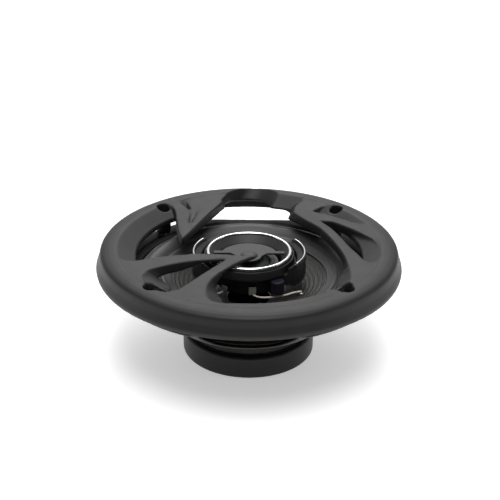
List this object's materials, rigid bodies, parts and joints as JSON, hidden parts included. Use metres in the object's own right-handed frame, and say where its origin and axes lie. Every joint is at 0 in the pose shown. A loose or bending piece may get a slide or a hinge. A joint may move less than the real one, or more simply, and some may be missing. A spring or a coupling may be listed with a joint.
{
  "type": "coaxial car speaker",
  "caption": "Round two-way coaxial car speaker with a claw-shaped open grille, woven cone, rubber surround, central tweeter with side wings and a booted magnet.",
  "frame": {"origin": "centre of the magnet boot's flat bottom face", "axes": "+Z along the speaker's axis towards the listener, +X to the right with the grille's front claw low on the left"},
  "size_m": [0.18, 0.18, 0.068],
  "materials": {
    "satin_black_plastic": "satin moulded black",
    "black_painted_steel": "satin black paint",
    "black_rubber": "matt black",
    "woven_cone": "woven dark fibre, matt",
    "treated_cloth": "phenolic-treated dark cloth",
    "bright_trim": "bright plated",
    "zinc_plated_steel": "zinc plated",
    "dark_steel": "blackened",
    "ferrite": "matt sintered",
    "copper_wire": "enamelled",
    "glass_fibre_former": "glass fibre, varnished",
    "tweeter_dome_film": "satin film",
    "tweeter_grey_plastic": "satin dark grey",
    "tinsel_braid": "braided",
    "capacitor_sleeve": "shrink sleeve",
    "laminate_board": "laminate",
    "gasket_foam": "matt foam",
    "nickel_plated_magnet": "nickel plated"
  },
  "bodies": {
    "frame": {"grille_cover": "satin_black_plastic", "basket_frame": "black_painted_steel", "surround_gasket": "gasket_foam", "magnet_boot": "black_rubber", "t_yoke": "dark_steel", "magnet_ring": "ferrite", "top_plate": "dark_steel", "basket_rivet_1": "zinc_plated_steel", "basket_rivet_2": "zinc_plated_steel", "basket_rivet_3": "zinc_plated_steel", "basket_rivet_4": "zinc_plated_steel", "tweeter_pod": "satin_black_plastic", "wing_trim_left": "bright_trim", "wing_trim_right": "bright_trim", "tweeter_housing": "tweeter_grey_plastic", "tweeter_trim_ring": "bright_trim", "tweeter_bridge": "tweeter_grey_plastic", "tweeter_hub_cap": "tweeter_grey_plastic", "tweeter_cup": "dark_steel", "tweeter_magnet": "nickel_plated_magnet", "tweeter_top_plate": "dark_steel", "tweeter_post": "satin_black_plastic", "post_bolt": "zinc_plated_steel", "post_nut": "zinc_plated_steel", "crossover_capacitor": "capacitor_sleeve", "solder_tab_left": "zinc_plated_steel", "solder_tab_right": "zinc_plated_steel", "terminal_board": "laminate_board", "terminal_board_rivet": "zinc_plated_steel", "terminal_tab_positive": "zinc_plated_steel", "terminal_tab_negative": "zinc_plated_steel", "terminal_rivet_positive": "zinc_plated_steel", "terminal_rivet_negative": "zinc_plated_steel"},
    "cone": {"woofer_cone": "woven_cone", "voice_coil_former": "glass_fibre_former", "voice_coil_winding": "copper_wire", "cone_eyelet_left": "zinc_plated_steel", "cone_eyelet_right": "zinc_plated_steel", "surround": "black_rubber", "spider": "treated_cloth", "tweeter_lead_left": "tinsel_braid", "tweeter_lead_right": "tinsel_braid", "tinsel_lead_positive": "tinsel_braid", "tinsel_lead_negative": "tinsel_braid"},
    "dome": {"tweeter_dome": "tweeter_dome_film", "tweeter_voice_coil": "copper_wire", "tweeter_surround": "tweeter_dome_film"}
  },
  "joints": [
    {"name": "cone_travel", "type": "slide", "parent": "frame", "child": "cone", "axis": [0, 0, 1], "range_m": [-0.004, 0.004], "stiffness_N_per_m": 2200, "deforming": ["surround", "spider", "tweeter_lead_left", "tweeter_lead_right", "tinsel_lead_positive", "tinsel_lead_negative"]},
    {"name": "dome_travel", "type": "slide", "parent": "frame", "child": "dome", "axis": [0, 0, 1], "range_m": [-0.0003, 0.0003], "stiffness_N_per_m": 250, "deforming": ["tweeter_surround"]}
  ]
}
